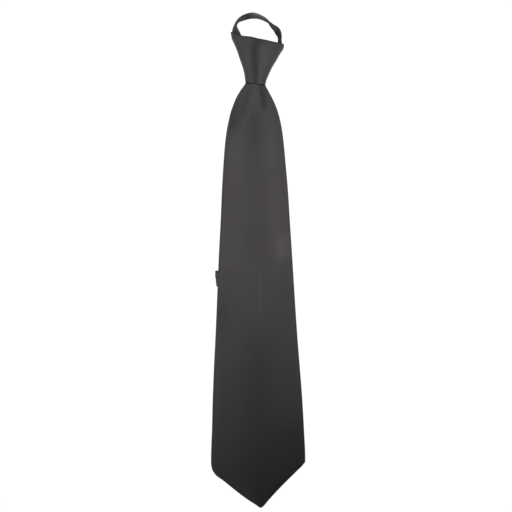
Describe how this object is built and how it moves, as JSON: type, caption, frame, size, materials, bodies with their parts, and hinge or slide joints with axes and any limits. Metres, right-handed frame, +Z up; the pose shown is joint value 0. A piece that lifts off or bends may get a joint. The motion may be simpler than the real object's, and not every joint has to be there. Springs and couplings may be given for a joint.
{
  "type": "pre-tied necktie with a zipped neck loop",
  "caption": "Pre-tied zip necktie lying face up: folded pointed blade, dimpled tapered knot, small twisted neck loop and a zipped tail behind the blade.",
  "frame": {"origin": "under the middle of the tie's bounding box, on the surface it lies on", "axes": "+Y from the blade's tip towards the neck loop, +Z up from the surface, out of the blade's front"},
  "size_m": [0.09, 0.4748, 0.0175],
  "materials": {
    "tie_cloth": "near-black charcoal twill with a soft sheen, folded and pressed",
    "strap_cloth": "the same charcoal cloth sewn into a narrow band with a visible diagonal twill",
    "zip_teeth": "black moulded nylon teeth",
    "zip_slider": "black painted die-cast metal"
  },
  "bodies": {
    "root": {"front_blade": "tie_cloth", "knot": "tie_cloth", "neck_strap": "strap_cloth", "zipper_chain": "zip_teeth", "zipper_slider": "zip_slider", "tail_tab": "strap_cloth"}
  },
  "joints": []
}
